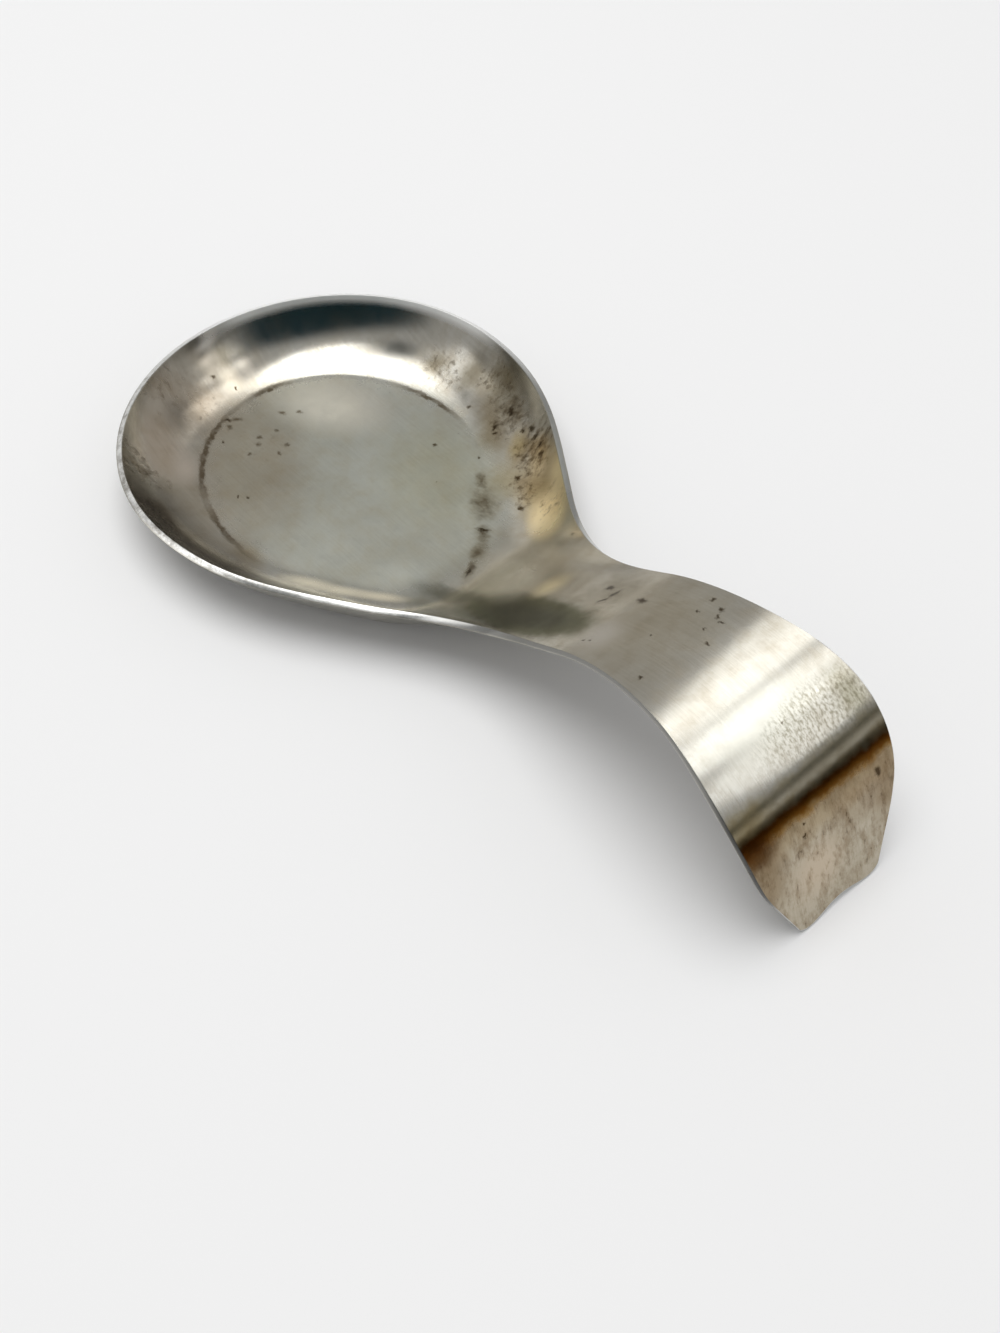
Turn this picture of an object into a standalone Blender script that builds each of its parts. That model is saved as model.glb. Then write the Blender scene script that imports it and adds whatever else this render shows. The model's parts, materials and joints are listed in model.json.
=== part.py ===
"""Spoon rest pressed from one sheet of stainless steel, as a closed solid at its real size.

The sheet is thought of flat first: s runs along its middle line from the bowl to the tail, y runs
across it. The middle line is then bent to the side profile of the spoon rest, and the border is
lifted above it into the bowl's wall and the flanges of the neck. Metres, +Z up, the table is z = 0.
The origin lies under the middle of the bowl's floor and the handle points along +X.
"""

from math import cos, pi, radians, sin

import bmesh
import bpy
from mathutils import Vector
from mathutils.geometry import interpolate_bezier

# The sheet
SHEET_THICKNESS = 0.0015
EDGE_ROUND = 0.0003             # the cut edge is broken by this much all round

# The bowl
BOWL_WIDTH = 0.0988             # across the rim at its widest
BOWL_FRONT = 0.048              # from the widest place forward to the front of the rim
BOWL_WIDEST_AHEAD = 0.005       # the widest place lies this far ahead of the floor's middle
RIM_HEIGHT = 0.0145             # upper edge of the rim above the table
FLOOR_WIDTH = 0.0668
FLOOR_FRONT = 0.0382            # from the floor's middle to its front
FLOOR_BACK = 0.0377             # from the floor's middle to where it starts to climb

# The neck and the handle, along the bent sheet
NECK_REACH = 0.087              # from the floor's middle to the narrowest place
NECK_WIDTH = 0.0304
GUTTER_WIDTH = 0.010            # flat strip along the middle of the neck and the handle
FLANGE_BLEND = 0.013            # height over which the rim's level fades into the climbing neck
RAMP_BEND_RADIUS = 0.020
RAMP_ANGLE = radians(31.5)
HANDLE_HEIGHT = 0.0381          # crest of the handle above the table
HUMP_RADIUS = 0.056
TAIL_BEND_RADIUS = 0.0323
TAIL_ANGLE = radians(69.3)      # slope of the turned-down tail
HANDLE_WIDTH = 0.0420           # across the flare, the widest place of the handle
FLARE_FROM_END = 0.0345

# The end of the tail, with a shallow notch between two feet
END_WIDTH = 0.0230
END_TAPER = radians(34)         # how steeply the sides run in at the end
FOOT_SPACING = 0.017
NOTCH_DEPTH = 0.0014

# Shape of the curves between those places, as shares of each run
BOWL_SWEEP = 0.43
NECK_SWEEP_TO_BOWL = 0.47
NECK_SWEEP_TO_FLARE = 0.65
FLARE_SWEEP_TO_NECK = 0.25
FLARE_SWEEP_TO_END = 0.51
END_SWEEP = 0.18
FLOOR_SWEEP = 0.27
GUTTER_SWEEP = 0.72
FAN_POWER = 1.7                 # how slowly the rows leave the middle of the floor
WALL_KNEE_OUT = 0.68            # the wall's control point, out from the floor and up to the rim
WALL_KNEE_UP = 0.20
NOTCH_FADE = 6                  # how fast the notch dies out up the tail

# Fineness of the mesh
FRONT_ROWS = 18
SIDE_ROWS = 28
HANDLE_ROWS = 15
TAIL_ROWS = 12
FLOOR_COLUMNS = 3
WALL_COLUMNS = 7
EDGE_SEGMENTS = 2
WELD_DISTANCE = 1e-6
EDGE_ANGLE = radians(50)        # corners sharper than this are cut edges of the sheet

STEEL_COLOUR = (0.46, 0.44, 0.40, 1.0)
STEEL_ROUGHNESS = 0.33


def spine_runs():
    """Lengths and turns of the middle line, from the floor's middle to the end of the tail."""
    bend_rise = (RAMP_BEND_RADIUS + HUMP_RADIUS) * (1 - cos(RAMP_ANGLE))
    ramp = (HANDLE_HEIGHT - SHEET_THICKNESS - bend_rise) / sin(RAMP_ANGLE)
    tail_top = HANDLE_HEIGHT - TAIL_BEND_RADIUS * (1 - cos(TAIL_ANGLE))
    foot_height = (SHEET_THICKNESS - EDGE_ROUND) * cos(TAIL_ANGLE)
    tail = (tail_top - foot_height) / sin(TAIL_ANGLE)
    return [
        (FLOOR_BACK, 0.0),
        (RAMP_BEND_RADIUS * RAMP_ANGLE, RAMP_ANGLE),
        (ramp, 0.0),
        (HUMP_RADIUS * RAMP_ANGLE, -RAMP_ANGLE),
        (TAIL_BEND_RADIUS * TAIL_ANGLE, -TAIL_ANGLE),
        (tail, 0.0),
    ]


SPINE = spine_runs()
SPINE_END = sum(length for length, turn in SPINE)
CREST = sum(length for length, turn in SPINE[:4])
FLARE_REACH = SPINE_END - FLARE_FROM_END


def spine_point(s):
    """Place of the sheet's upper face on the bent middle line, s along from the floor's middle."""
    x, z, slope = min(s, 0.0), SHEET_THICKNESS, 0.0
    left = max(s, 0.0)
    for length, turn in SPINE:
        step = min(left, length)
        part = turn * step / length
        if turn:
            radius = length / turn
            x += radius * (sin(slope + part) - sin(slope))
            z += radius * (cos(slope) - cos(slope + part))
        else:
            x += step * cos(slope)
            z += step * sin(slope)
        slope += part
        left -= step
    return Vector((x, 0.0, z))


def smooth_max(a, b, blend):
    """The larger of two heights, rounded over where they cross."""
    overlap = max(blend - abs(a - b), 0.0) / blend
    return max(a, b) + overlap * overlap * blend / 4


def border_lift(s):
    """Height of the sheet's border above its middle line: the wall, then the flanges of the neck."""
    if s >= CREST:
        return 0.0
    return smooth_max(RIM_HEIGHT - spine_point(s).z, 0.0, FLANGE_BLEND)


def curve_between(start, start_handle, end_handle, end, rows):
    """Points along one smooth outline curve in the flat sheet, without its first point."""
    knots = [Vector((s, y, 0.0)) for s, y in (start, start_handle, end_handle, end)]
    return interpolate_bezier(*knots, rows + 1)[1:]


def outline_rows():
    """Rows of the flat sheet as (s on the middle line, floor line point, border point)."""
    rim = BOWL_WIDTH / 2
    floor = FLOOR_WIDTH / 2
    neck = NECK_WIDTH / 2
    gutter = GUTTER_WIDTH / 2
    flare = HANDLE_WIDTH / 2
    end = END_WIDTH / 2
    rows = []

    for i in range(FRONT_ROWS + 1):
        turn = i / FRONT_ROWS * pi / 2
        floor_point = Vector((-FLOOR_FRONT * cos(turn), floor * sin(turn), 0.0))
        rim_point = Vector((-BOWL_WIDEST_AHEAD - BOWL_FRONT * cos(turn), rim * sin(turn), 0.0))
        rows.append((0.0, floor_point, rim_point))

    side = NECK_REACH + BOWL_WIDEST_AHEAD
    rim_side = curve_between(
        (-BOWL_WIDEST_AHEAD, rim), (BOWL_SWEEP * side - BOWL_WIDEST_AHEAD, rim),
        (NECK_REACH - NECK_SWEEP_TO_BOWL * side, neck), (NECK_REACH, neck), SIDE_ROWS)
    floor_side = curve_between(
        (0.0, floor), (FLOOR_SWEEP * NECK_REACH, floor),
        (NECK_REACH - GUTTER_SWEEP * NECK_REACH, gutter), (NECK_REACH, gutter), SIDE_ROWS)
    for i, (floor_point, rim_point) in enumerate(zip(floor_side, rim_side), start=1):
        rows.append((NECK_REACH * (i / SIDE_ROWS) ** FAN_POWER, floor_point, rim_point))

    handle = FLARE_REACH - NECK_REACH
    border = curve_between(
        (NECK_REACH, neck), (NECK_REACH + NECK_SWEEP_TO_FLARE * handle, neck),
        (FLARE_REACH - FLARE_SWEEP_TO_NECK * handle, flare), (FLARE_REACH, flare), HANDLE_ROWS)
    end_sweep = END_SWEEP * FLARE_FROM_END
    border += curve_between(
        (FLARE_REACH, flare), (FLARE_REACH + FLARE_SWEEP_TO_END * FLARE_FROM_END, flare),
        (SPINE_END - end_sweep * cos(END_TAPER), end + end_sweep * sin(END_TAPER)),
        (SPINE_END, end), TAIL_ROWS)
    for point in border:
        rows.append((point.x, Vector((point.x, gutter, 0.0)), point))
    return rows


def notch(s, y):
    """How far the end of the tail is cut back at y, dying out up the tail."""
    if s <= FLARE_REACH:
        return 0.0
    fade = ((s - FLARE_REACH) / FLARE_FROM_END) ** NOTCH_FADE
    foot = FOOT_SPACING / 2
    return NOTCH_DEPTH * (1 - (y / foot) ** 2) ** 2 * fade


def sheet_point(row, column):
    """Place of one corner of the sheet's upper face; columns run from the middle to the border."""
    middle, floor_point, border_point = row
    lift = 0.0
    if column <= FLOOR_COLUMNS:
        flat = Vector((middle, 0.0, 0.0)).lerp(floor_point, column / FLOOR_COLUMNS)
    else:
        t = (column - FLOOR_COLUMNS) / WALL_COLUMNS
        knee = floor_point.lerp(border_point, WALL_KNEE_OUT)
        flat = floor_point.lerp(knee, t).lerp(knee.lerp(border_point, t), t)
        lift = (2 * t * (1 - t) * WALL_KNEE_UP + t * t) * border_lift(border_point.x)
    place = spine_point(flat.x - notch(flat.x, flat.y))
    return place + Vector((0.0, flat.y, lift))


def half_sheet_mesh():
    """The upper face of half the sheet: a grid whose corners are moved to their places."""
    rows = outline_rows()
    row_count = len(rows) - 1
    column_count = FLOOR_COLUMNS + WALL_COLUMNS
    bm = bmesh.new()
    bmesh.ops.create_grid(bm, x_segments=row_count, y_segments=column_count, size=0.5)
    for corner in bm.verts:
        row = round((corner.co.x + 0.5) * row_count)
        column = round((corner.co.y + 0.5) * column_count)
        corner.co = sheet_point(rows[row], column)
    bmesh.ops.remove_doubles(bm, verts=bm.verts, dist=WELD_DISTANCE)
    mesh = bpy.data.meshes.new("pressed_sheet")
    bm.to_mesh(mesh)
    bm.free()
    return mesh


def steel_material():
    """Worn stainless steel."""
    material = bpy.data.materials.new("stainless_steel")
    material.use_nodes = True
    shader = material.node_tree.nodes["Principled BSDF"]
    shader.inputs["Base Color"].default_value = STEEL_COLOUR
    shader.inputs["Metallic"].default_value = 1.0
    shader.inputs["Roughness"].default_value = STEEL_ROUGHNESS
    return material


def pressed_sheet(collection):
    """The whole spoon rest: half the sheet, mirrored, given its thickness, its cut edges broken."""
    sheet = bpy.data.objects.new("pressed_sheet", half_sheet_mesh())
    collection.objects.link(sheet)
    sheet.data.materials.append(steel_material())

    mirror = sheet.modifiers.new("both_halves", "MIRROR")
    mirror.use_axis = (False, True, False)
    mirror.merge_threshold = WELD_DISTANCE

    thickness = sheet.modifiers.new("sheet_thickness", "SOLIDIFY")
    thickness.thickness = SHEET_THICKNESS
    thickness.offset = -1.0
    thickness.use_even_offset = True
    thickness.use_quality_normals = True

    edge = sheet.modifiers.new("broken_edge", "BEVEL")
    edge.width = EDGE_ROUND
    edge.segments = EDGE_SEGMENTS
    edge.limit_method = "ANGLE"
    edge.angle_limit = EDGE_ANGLE

    sheet.data.shade_smooth()
    return sheet


def main():
    for old in list(bpy.data.objects):
        bpy.data.objects.remove(old)
    collection = bpy.data.collections.new("spoon_rest")
    bpy.context.scene.collection.children.link(collection)
    pressed_sheet(collection)


main()
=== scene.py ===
# %% [markdown]
# # A worn stainless-steel spoon rest
# The spoon rest is one sheet of steel, pressed into a bowl and bent into an arched handle. This
# lesson lays the sheet out flat, bends it with one Geometry Nodes tree, and then spends most of its
# effort on the finish: brushed grain, stains, a heat tint across the tail and a nicked cut edge.

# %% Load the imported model
import json

from math import cos, pi, radians, sin

import bpy
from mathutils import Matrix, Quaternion, Vector
from mathutils.geometry import interpolate_bezier

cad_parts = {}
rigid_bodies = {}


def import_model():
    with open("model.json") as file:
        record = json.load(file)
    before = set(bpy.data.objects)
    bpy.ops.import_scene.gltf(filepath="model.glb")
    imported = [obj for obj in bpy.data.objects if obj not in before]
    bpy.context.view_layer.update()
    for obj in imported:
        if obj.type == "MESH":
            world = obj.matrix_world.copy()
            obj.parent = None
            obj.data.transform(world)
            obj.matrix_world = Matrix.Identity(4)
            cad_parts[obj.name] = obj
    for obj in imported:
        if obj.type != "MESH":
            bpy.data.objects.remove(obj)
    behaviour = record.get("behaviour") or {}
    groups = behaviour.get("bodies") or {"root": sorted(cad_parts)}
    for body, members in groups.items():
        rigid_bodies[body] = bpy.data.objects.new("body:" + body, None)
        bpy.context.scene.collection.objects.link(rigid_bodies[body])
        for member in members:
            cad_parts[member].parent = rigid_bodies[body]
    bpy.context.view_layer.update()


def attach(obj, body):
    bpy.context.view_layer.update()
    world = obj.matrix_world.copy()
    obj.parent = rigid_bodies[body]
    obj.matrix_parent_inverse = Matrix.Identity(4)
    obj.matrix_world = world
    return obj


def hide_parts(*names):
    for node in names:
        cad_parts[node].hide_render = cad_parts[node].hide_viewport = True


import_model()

# %% [markdown]
# ## The side profile
# Seen from the side, the sheet's middle line lies flat under the bowl, climbs out of it, turns over
# the crest of the handle and runs down to the table. It could be drawn by hand as a Bezier curve.
# Straight runs and arcs are closer to how a bending tool works, so each run has a length and a turn.

# %% Runs of the middle line
SHEET_THICKNESS = 0.0015
EDGE_ROUND = 0.0003
FLOOR_BACK = 0.0377             # from the floor's middle to where the sheet starts to climb
RAMP_BEND_RADIUS = 0.020
RAMP_ANGLE = radians(31.5)
RAMP_SOFTENING = 0.0065         # the pressed bend runs out softly this far on both sides
HANDLE_HEIGHT = 0.0381
HUMP_RADIUS = 0.056
TAIL_BEND_RADIUS = 0.0323
TAIL_ANGLE = radians(69.3)

bend_rise = (RAMP_BEND_RADIUS + HUMP_RADIUS) * (1 - cos(RAMP_ANGLE))
ramp_length = (HANDLE_HEIGHT - SHEET_THICKNESS - bend_rise) / sin(RAMP_ANGLE)
tail_top = HANDLE_HEIGHT - TAIL_BEND_RADIUS * (1 - cos(TAIL_ANGLE))
tail_length = (tail_top - (SHEET_THICKNESS - EDGE_ROUND) * cos(TAIL_ANGLE)) / sin(TAIL_ANGLE)
profile_runs = [
    (FLOOR_BACK - RAMP_SOFTENING, 0.0, 0.0),
    (RAMP_BEND_RADIUS * RAMP_ANGLE + 2 * RAMP_SOFTENING, RAMP_ANGLE, 1.0),
    (ramp_length - RAMP_SOFTENING, 0.0, 0.0),
    (HUMP_RADIUS * RAMP_ANGLE, -RAMP_ANGLE, 0.0),
    (TAIL_BEND_RADIUS * TAIL_ANGLE, -TAIL_ANGLE, 0.0),
    (tail_length, 0.0, 0.0),
]
crest_reach = sum(length for length, turn, ease in profile_runs[:4])
tail_end = sum(length for length, turn, ease in profile_runs)
print(f"the flat sheet reaches {1000 * tail_end:.1f} mm from the floor's middle to the tail's end")

# %% Walk along the middle line
PROFILE_START = -0.060          # ahead of the bowl's front, so that the whole bowl lies on the line
PROFILE_STEP = 0.0005
WALK_STEP = 0.00005


def slope_at(s):
    """Slope of the middle line, s along from the floor's middle; an eased bend starts softly."""
    slope = 0.0
    for length, turn, ease in profile_runs:
        share = min(max(s / length, 0.0), 1.0)
        slope += turn * (share - ease * sin(2 * pi * share) / (2 * pi))
        s -= length
    return slope


walked = [Vector((0.0, 0.0, SHEET_THICKNESS))]
for i in range(round(tail_end / WALK_STEP) + 1):
    slope = slope_at((i + 0.5) * WALK_STEP)
    walked.append(walked[-1] + Vector((cos(slope), 0.0, sin(slope))) * WALK_STEP)


def middle_line(s):
    """Place of the sheet's upper face on the bent middle line."""
    if s <= 0.0:
        return Vector((s, 0.0, SHEET_THICKNESS))
    step = min(int(s / WALK_STEP), len(walked) - 2)
    return walked[step].lerp(walked[step + 1], s / WALK_STEP - step)


profile_curve = bpy.data.curves.new("side_profile", "CURVE")
profile_curve.dimensions = "3D"
profile_line = profile_curve.splines.new("POLY")
step_count = round((tail_end - PROFILE_START) / PROFILE_STEP)
profile_line.points.add(step_count)
for i, point in enumerate(profile_line.points):
    s = PROFILE_START + (tail_end - PROFILE_START) * i / step_count
    point.co = (*middle_line(s), 1.0)
side_profile = bpy.data.objects.new("side_profile", profile_curve)
print(f"side profile of {step_count + 1} points")

# %% [markdown]
# ## The outline of the flat sheet
# Rows run across the flat sheet from its middle line, over the edge of the floor, to the border. In
# front they fan out round the floor like the spokes of a wheel; along the handle they are parallel.
# A mesh could be drawn corner by corner, but each row needs only a few numbers. So it is kept as one
# point of a mesh that carries them as attributes, and the node tree looks it up by its number.

# %% Sizes of the outline
BOWL_WIDTH = 0.0988
BOWL_FRONT = 0.048              # from the widest place forward to the front of the rim
BOWL_WIDEST_AHEAD = 0.005
RIM_HEIGHT = 0.0145
FLOOR_WIDTH = 0.0668
FLOOR_FRONT = 0.0382
NECK_REACH = 0.087
NECK_WIDTH = 0.0304
GUTTER_WIDTH = 0.010            # flat strip along the middle of the neck and the handle
FLANGE_BLEND = 0.013            # height over which the rim's level fades into the neck
HANDLE_WIDTH = 0.0420
FLARE_FROM_END = 0.0345
END_WIDTH = 0.0230
END_TAPER = radians(34)
flare_reach = tail_end - FLARE_FROM_END


def border_lift(s):
    """How far the border stands above the middle line: the bowl's wall, then the neck's flanges."""
    if s >= crest_reach:
        return 0.0
    drop = RIM_HEIGHT - middle_line(s).z
    overlap = max(FLANGE_BLEND - abs(drop), 0.0) / FLANGE_BLEND
    return max(drop, 0.0) + overlap * overlap * FLANGE_BLEND / 4


def sweep(start, start_handle, end_handle, end, rows):
    """Points along one smooth outline curve in the flat sheet, without its first point."""
    knots = [Vector((s, y, 0.0)) for s, y in (start, start_handle, end_handle, end)]
    return interpolate_bezier(*knots, rows + 1)[1:]


print(f"the handle is widest {1000 * flare_reach:.1f} mm along the sheet")

# %% Rows of the bowl
FRONT_ROWS = 90
SIDE_ROWS = 110
BOWL_SWEEP = 0.43
NECK_SWEEP_TO_BOWL = 0.47
FLOOR_SWEEP = 0.27
GUTTER_SWEEP = 0.72
FAN_POWER = 1.7                 # how slowly the rows leave the middle of the floor
rim, floor_half = BOWL_WIDTH / 2, FLOOR_WIDTH / 2
neck, gutter = NECK_WIDTH / 2, GUTTER_WIDTH / 2

rows = []
for i in range(FRONT_ROWS + 1):
    turn = i / FRONT_ROWS * pi / 2
    floor_point = Vector((-FLOOR_FRONT * cos(turn), floor_half * sin(turn), 0.0))
    rim_point = Vector((-BOWL_WIDEST_AHEAD - BOWL_FRONT * cos(turn), rim * sin(turn), 0.0))
    rows.append((0.0, floor_point, rim_point))

side = NECK_REACH + BOWL_WIDEST_AHEAD
rim_side = sweep(
    (-BOWL_WIDEST_AHEAD, rim), (BOWL_SWEEP * side - BOWL_WIDEST_AHEAD, rim),
    (NECK_REACH - NECK_SWEEP_TO_BOWL * side, neck), (NECK_REACH, neck), SIDE_ROWS)
floor_side = sweep(
    (0.0, floor_half), (FLOOR_SWEEP * NECK_REACH, floor_half),
    (NECK_REACH - GUTTER_SWEEP * NECK_REACH, gutter), (NECK_REACH, gutter), SIDE_ROWS)
for i, (floor_point, rim_point) in enumerate(zip(floor_side, rim_side), start=1):
    rows.append((NECK_REACH * (i / SIDE_ROWS) ** FAN_POWER, floor_point, rim_point))
print(f"{len(rows)} rows from the front of the bowl to the neck")

# %% Rows of the handle and the tail
HANDLE_ROWS = 85
TAIL_ROWS = 55
NECK_SWEEP_TO_FLARE = 0.65
FLARE_SWEEP_TO_NECK = 0.25
FLARE_SWEEP_TO_END = 0.51
END_SWEEP = 0.18
flare, end_half = HANDLE_WIDTH / 2, END_WIDTH / 2

handle = flare_reach - NECK_REACH
end_sweep = END_SWEEP * FLARE_FROM_END
border = sweep(
    (NECK_REACH, neck), (NECK_REACH + NECK_SWEEP_TO_FLARE * handle, neck),
    (flare_reach - FLARE_SWEEP_TO_NECK * handle, flare), (flare_reach, flare), HANDLE_ROWS)
border += sweep(
    (flare_reach, flare), (flare_reach + FLARE_SWEEP_TO_END * FLARE_FROM_END, flare),
    (tail_end - end_sweep * cos(END_TAPER), end_half + end_sweep * sin(END_TAPER)),
    (tail_end, end_half), TAIL_ROWS)
for point in border:
    rows.append((point.x, Vector((point.x, gutter, 0.0)), point))
print(f"{len(rows)} rows in all")

# %% Keep the rows as points with attributes
FLOOR_FILLET = 0.02             # how softly the wall leaves the floor, as a share of the wall
BACK_FILLET = 0.35              # the same at the back, where floor and neck flow together
FILLET_ROWS = (FRONT_ROWS + 20, FRONT_ROWS + 70)    # one turns into the other between these


def fillet(row):
    """How softly the wall leaves the floor in one row."""
    share = min(max((row - FILLET_ROWS[0]) / (FILLET_ROWS[1] - FILLET_ROWS[0]), 0.0), 1.0)
    return FLOOR_FILLET + (BACK_FILLET - FLOOR_FILLET) * share * share * (3 - 2 * share)


row_mesh = bpy.data.meshes.new("sheet_rows")
row_mesh.vertices.add(len(rows))
middles, floor_points, border_points = zip(*rows)
row_values = {
    "middle_point": ("FLOAT_VECTOR", [Vector((middle, 0.0, 0.0)) for middle in middles]),
    "floor_point": ("FLOAT_VECTOR", floor_points),
    "border_point": ("FLOAT_VECTOR", border_points),
    "border_lift": ("FLOAT", [border_lift(point.x) for point in border_points]),
    "floor_fillet": ("FLOAT", [fillet(row) for row in range(len(rows))]),
}
for name, (kind, values) in row_values.items():
    attribute = row_mesh.attributes.new(name, kind, "POINT")
    for item, value in zip(attribute.data, values):
        if kind == "FLOAT":
            item.value = value
        else:
            item.vector = value
print("row attributes:", ", ".join(row_values))

# %% [markdown]
# ## One tree that presses the sheet
# The real sheet is cut flat and then pressed. The bent shape could be sculpted at once, but then
# grain and stains couldn't follow the sheet. So the tree does as the press does: it starts from a
# flat grid, works out where each corner lies on the flat sheet, keeps that place as an attribute and
# bends the whole thing along the profile. First come the one helper that adds a node, and the tree's
# inputs, which are the sizes of the pressing.

# %% A helper that adds a node
def add(tree, kind, *inputs, **settings):
    """Adds a node, makes its settings, feeds its live inputs in order (None skips one) and returns
    its first live output. A kind that isn't named in full is one of the ShaderNode kinds."""
    node = tree.nodes.new(kind if "Node" in kind else "ShaderNode" + kind)
    for name, value in settings.items():
        setattr(node, name, value)
    sockets = [socket for socket in node.inputs if socket.enabled]
    for socket, value in zip(sockets, inputs):
        if isinstance(value, bpy.types.NodeSocket):
            tree.links.new(value, socket)
        elif value is not None:
            socket.default_value = value
    return next(socket for socket in node.outputs if socket.enabled)


press = bpy.data.node_groups.new("press_sheet", "GeometryNodeTree")
print("started the tree", press.name)

# %% Inputs of the tree
COLUMNS = 121                   # across the whole sheet, an odd number so that one is the middle
FLOOR_SHARE = 0.28              # share of the columns that lies on the floor
WALL_KNEE_OUT = 0.68            # the wall's control point, out from the floor and up to the rim
WALL_KNEE_UP = 0.20
FOOT_SPACING = 0.017
NOTCH_DEPTH = 0.0014
NOTCH_FADE = 6.0                # how fast the notch dies out up the tail
UNEVENNESS = 0.00012            # hand-pressed sheet is never quite even
UNEVEN_WAVE = 0.022
WELD_DISTANCE = 1e-6

press_inputs = {
    "Profile": ("NodeSocketObject", side_profile),
    "Row Count": ("NodeSocketInt", len(rows)),
    "Column Count": ("NodeSocketInt", COLUMNS),
    "Floor Share": ("NodeSocketFloat", FLOOR_SHARE),
    "Wall Knee Out": ("NodeSocketFloat", WALL_KNEE_OUT),
    "Wall Knee Up": ("NodeSocketFloat", WALL_KNEE_UP),
    "Tail End": ("NodeSocketFloat", tail_end),
    "Flare Reach": ("NodeSocketFloat", flare_reach),
    "Foot Spacing": ("NodeSocketFloat", FOOT_SPACING),
    "Notch Depth": ("NodeSocketFloat", NOTCH_DEPTH),
    "Unevenness": ("NodeSocketFloat", UNEVENNESS),
    "Uneven Wave": ("NodeSocketFloat", UNEVEN_WAVE),
    "Thickness": ("NodeSocketFloat", SHEET_THICKNESS),
    "Finish": ("NodeSocketMaterial", None),
}
press.interface.new_socket("Rows", in_out="INPUT", socket_type="NodeSocketGeometry")
press.interface.new_socket("Sheet", in_out="OUTPUT", socket_type="NodeSocketGeometry")
press_ids = {}
for name, (kind, _) in press_inputs.items():
    press_ids[name] = press.interface.new_socket(name, in_out="INPUT", socket_type=kind).identifier
size = press.nodes.new("NodeGroupInput").outputs
print(f"{len(press_ids)} named inputs")

# %% Which row and how far across
# The grid runs from -0.5 to 0.5 along its rows and from -1 to 1 across, with 0 on the middle line.
flat_grid = add(press, "GeometryNodeMeshGrid", 1.0, 2.0, size["Row Count"], size["Column Count"])
position = add(press, "GeometryNodeInputPosition")
grid_place = add(press, "SeparateXYZ", position).node.outputs
last_row = add(press, "Math", size["Row Count"], 1.0, operation="SUBTRACT")
from_first = add(press, "Math", grid_place["X"], 0.5, operation="ADD")
row_place = add(press, "Math", from_first, last_row, operation="MULTIPLY")
row_number = add(press, "FunctionNodeFloatToInt", row_place, rounding_mode="ROUND")
across = add(press, "Math", grid_place["Y"], operation="ABSOLUTE")
hand = add(press, "Math", grid_place["Y"], operation="SIGN")
on_floor = add(press, "MapRange", across, 0.0, size["Floor Share"], 0.0, 1.0)
up_wall = add(press, "MapRange", across, size["Floor Share"], 1.0, 0.0, 1.0)

row_point = {}
for name, (kind, _) in row_values.items():
    named = add(press, "GeometryNodeInputNamedAttribute", name, data_type=kind)
    row_point[name] = add(press, "GeometryNodeSampleIndex", size["Rows"], named, row_number,
                          data_type=kind)
print("looked up:", ", ".join(row_point))

# %% Where each corner lies on the flat sheet
# Three blends in a row make the wall's quadratic curve; a fourth fills in the floor inside it.
knee = add(press, "Mix", size["Wall Knee Out"], row_point["floor_point"],
           row_point["border_point"], data_type="VECTOR")
lower = add(press, "Mix", up_wall, row_point["floor_point"], knee, data_type="VECTOR")
upper = add(press, "Mix", up_wall, knee, row_point["border_point"], data_type="VECTOR")
wall_place = add(press, "Mix", up_wall, lower, upper, data_type="VECTOR")
half_place = add(press, "Mix", on_floor, row_point["middle_point"], wall_place, data_type="VECTOR")
half_parts = add(press, "SeparateXYZ", half_place).node.outputs
signed_y = add(press, "Math", half_parts["Y"], hand, operation="MULTIPLY")
flat_place = add(press, "CombineXYZ", half_parts["X"], signed_y, 0.0)

wall_width = add(press, "VectorMath", row_point["floor_point"], row_point["border_point"],
                 operation="DISTANCE").node.outputs["Value"]
short_of_rim = add(press, "Math", 1.0, up_wall, operation="SUBTRACT")
from_border = add(press, "Math", short_of_rim, wall_width, operation="MULTIPLY")
from_tail_end = add(press, "Math", size["Tail End"], half_parts["X"], operation="SUBTRACT")
from_edge = add(press, "Math", from_border, from_tail_end, operation="MINIMUM")
print("flat places and distances from the cut edge are set up")

# %% How high the wall stands there
# The share of the wall is eased near the floor, so that the crease is a small fillet.
fillet_squared = add(press, "Math", row_point["floor_fillet"], 2.0, operation="POWER")


def eased(share):
    """The share of the wall, leaving the floor with a soft start."""
    square = add(press, "Math", share, share, fillet_squared, operation="MULTIPLY_ADD")
    root = add(press, "Math", square, operation="SQRT")
    return add(press, "Math", root, row_point["floor_fillet"], operation="SUBTRACT")


climb = add(press, "Math", eased(up_wall), eased(1.0), operation="DIVIDE")
short_climb = add(press, "Math", 1.0, climb, operation="SUBTRACT")
knee_weight = add(press, "Math", climb, short_climb, operation="MULTIPLY")
knee_share = add(press, "Math", knee_weight, size["Wall Knee Up"], operation="MULTIPLY")
climb_squared = add(press, "Math", climb, climb, operation="MULTIPLY")
height_share = add(press, "Math", knee_share, 2.0, climb_squared, operation="MULTIPLY_ADD")
wall_height = add(press, "Math", height_share, row_point["border_lift"], operation="MULTIPLY")
print("the wall's height is set up")

# %% Keep what the finish needs, then bend the sheet
marked_grid = flat_grid
for name, kind, value in (("flat", "FLOAT_VECTOR", flat_place), ("rise", "FLOAT", wall_height),
                          ("from_edge", "FLOAT", from_edge), ("upper_face", "FLOAT", 1.0)):
    marked_grid = add(press, "GeometryNodeStoreNamedAttribute", marked_grid, None, name, value,
                      data_type=kind, domain="POINT")

flat = add(press, "GeometryNodeInputNamedAttribute", "flat", data_type="FLOAT_VECTOR")
flat_parts = add(press, "SeparateXYZ", flat).node.outputs
rise = add(press, "GeometryNodeInputNamedAttribute", "rise", data_type="FLOAT")

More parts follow.
